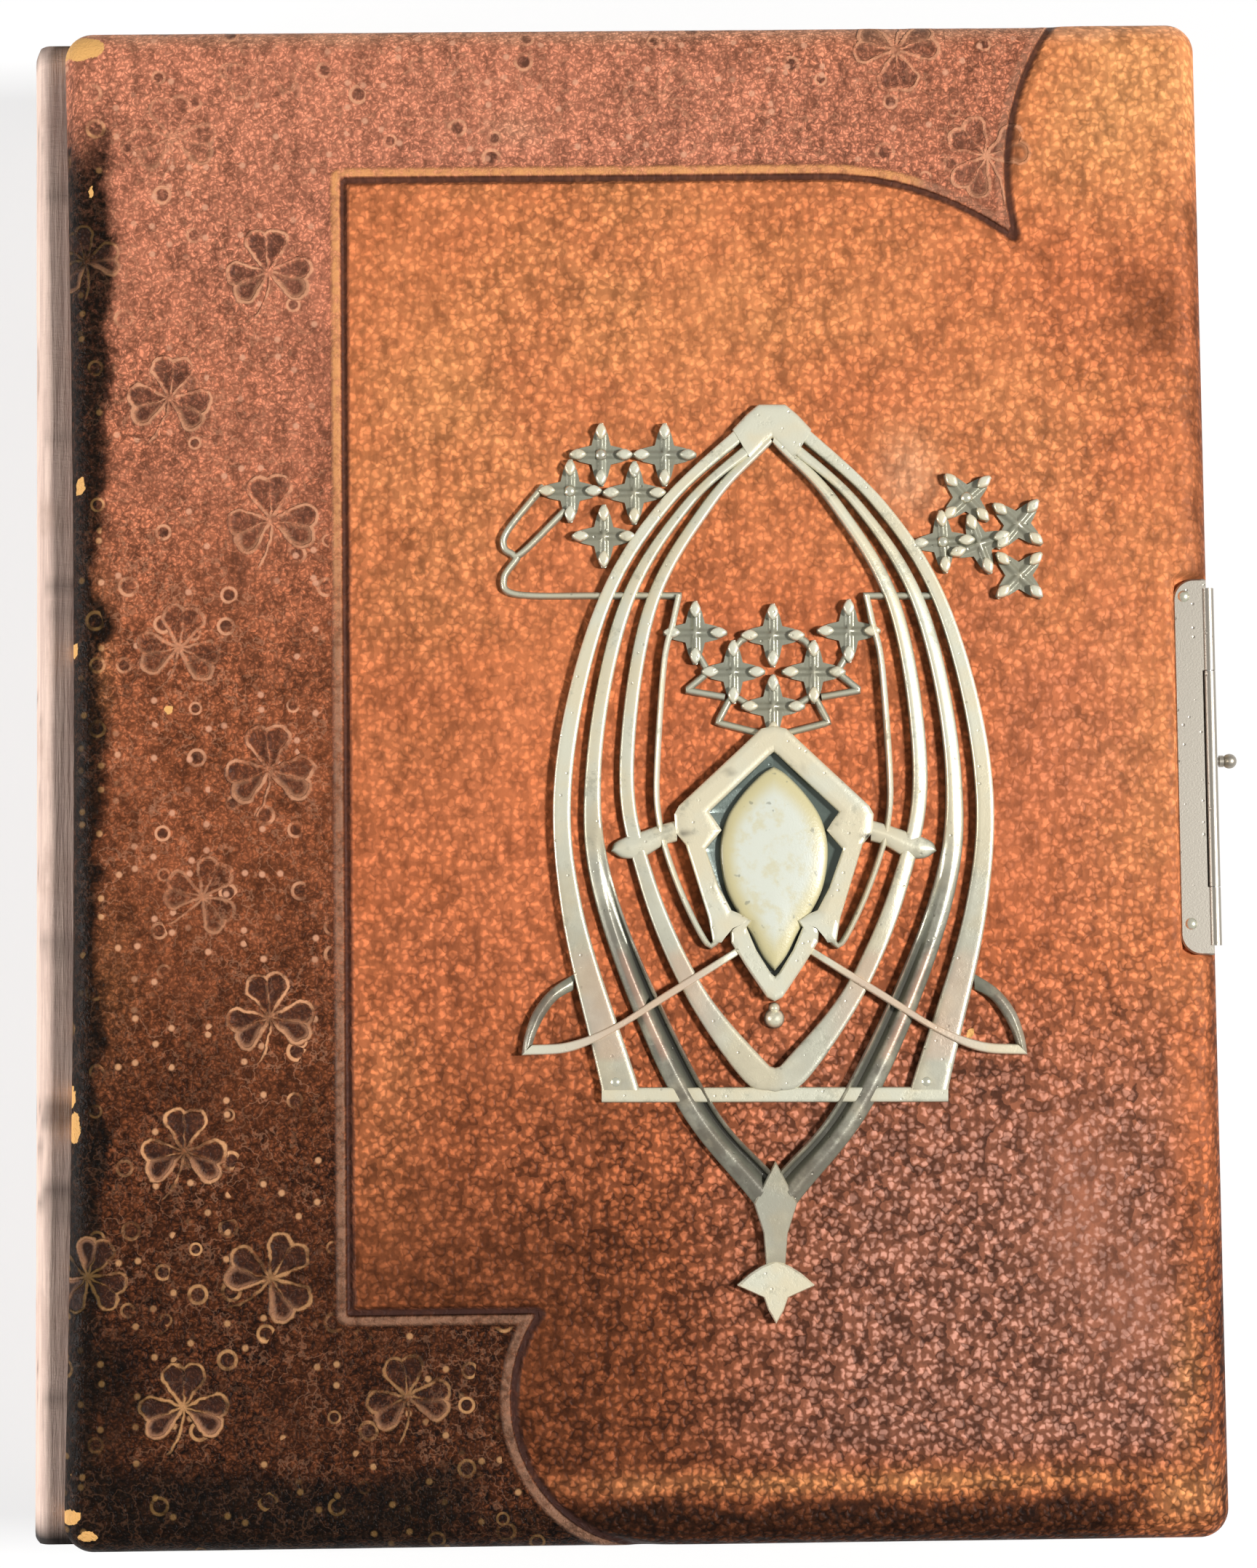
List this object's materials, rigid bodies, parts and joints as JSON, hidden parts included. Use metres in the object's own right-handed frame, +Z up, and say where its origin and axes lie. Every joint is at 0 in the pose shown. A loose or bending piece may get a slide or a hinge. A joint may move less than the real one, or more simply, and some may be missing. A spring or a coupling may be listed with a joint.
{
  "type": "photo album",
  "caption": "Antique leather photo album with a padded, embossed front cover, a pierced cast ornament round a drop-shaped stone, a block of thick card leaves and a hinged hasp clasp.",
  "frame": {"origin": "middle of the back cover's underside, on the surface that the album lies on", "axes": "+Z up through the covers, +Y to the head, -X to the spine, +X to the fore-edge and its clasp"},
  "size_m": [0.2333, 0.285, 0.0603],
  "materials": {
    "leather_front": "worn pebbled leather",
    "leather_back": "worn leather",
    "padding_cotton": "matte",
    "board_grey": "matte",
    "pastedown_paper": "matte",
    "cloth_taupe": "worn woven cloth",
    "leaf_card": "matte, toned edges",
    "frame_silver": "worn silver plating",
    "cabochon_cream": "glossy, pitted",
    "pin_silver": "worn plating",
    "clasp_nickel": "satin nickel plating",
    "clasp_nail": "worn plating",
    "spring_steel": "bare wire"
  },
  "bodies": {
    "block": {"page_block": "leaf_card", "spine_board": "board_grey", "spine_cloth": "cloth_taupe"},
    "front_cover": {"front_leather": "leather_front", "front_padding": "padding_cotton", "front_board": "board_grey", "front_pastedown": "pastedown_paper", "front_hinge_strip": "cloth_taupe", "ornament_frame": "frame_silver", "cabochon": "cabochon_cream", "ornament_pins": "pin_silver", "clasp_plate": "clasp_nickel", "clasp_nails": "clasp_nail", "clasp_hinge_pin": "spring_steel"},
    "back_cover": {"back_leather": "leather_back", "back_board": "board_grey", "back_pastedown": "pastedown_paper", "back_hinge_strip": "cloth_taupe", "catch_plate": "clasp_nickel", "catch_nails": "clasp_nail"},
    "hasp": {"clasp_hasp": "clasp_nickel", "latch_case": "clasp_nickel", "latch_spring": "spring_steel"},
    "latch": {"latch_slide": "clasp_nickel", "latch_knob": "clasp_nickel"}
  },
  "joints": [
    {"name": "front_cover_hinge", "type": "hinge", "parent": "block", "child": "front_cover", "pos_m": [-0.112, 0, 0.0474], "axis": [0, -1, 0], "range_deg": [0, 180]},
    {"name": "back_cover_hinge", "type": "hinge", "parent": "block", "child": "back_cover", "pos_m": [-0.112, 0, 0.005], "axis": [0, 1, 0], "range_deg": [0, 180]},
    {"name": "hasp_hinge", "type": "hinge", "parent": "front_cover", "child": "hasp", "pos_m": [0.1073, 0, 0.055], "axis": [0, -1, 0], "range_deg": [0, 150]},
    {"name": "latch_slide_joint", "type": "slide", "parent": "hasp", "child": "latch", "axis": [0, 0, 1], "range_m": [0, 0.0032], "stiffness_N_per_m": 150, "springref_m": -0.004, "deforming": ["latch_spring"]}
  ]
}
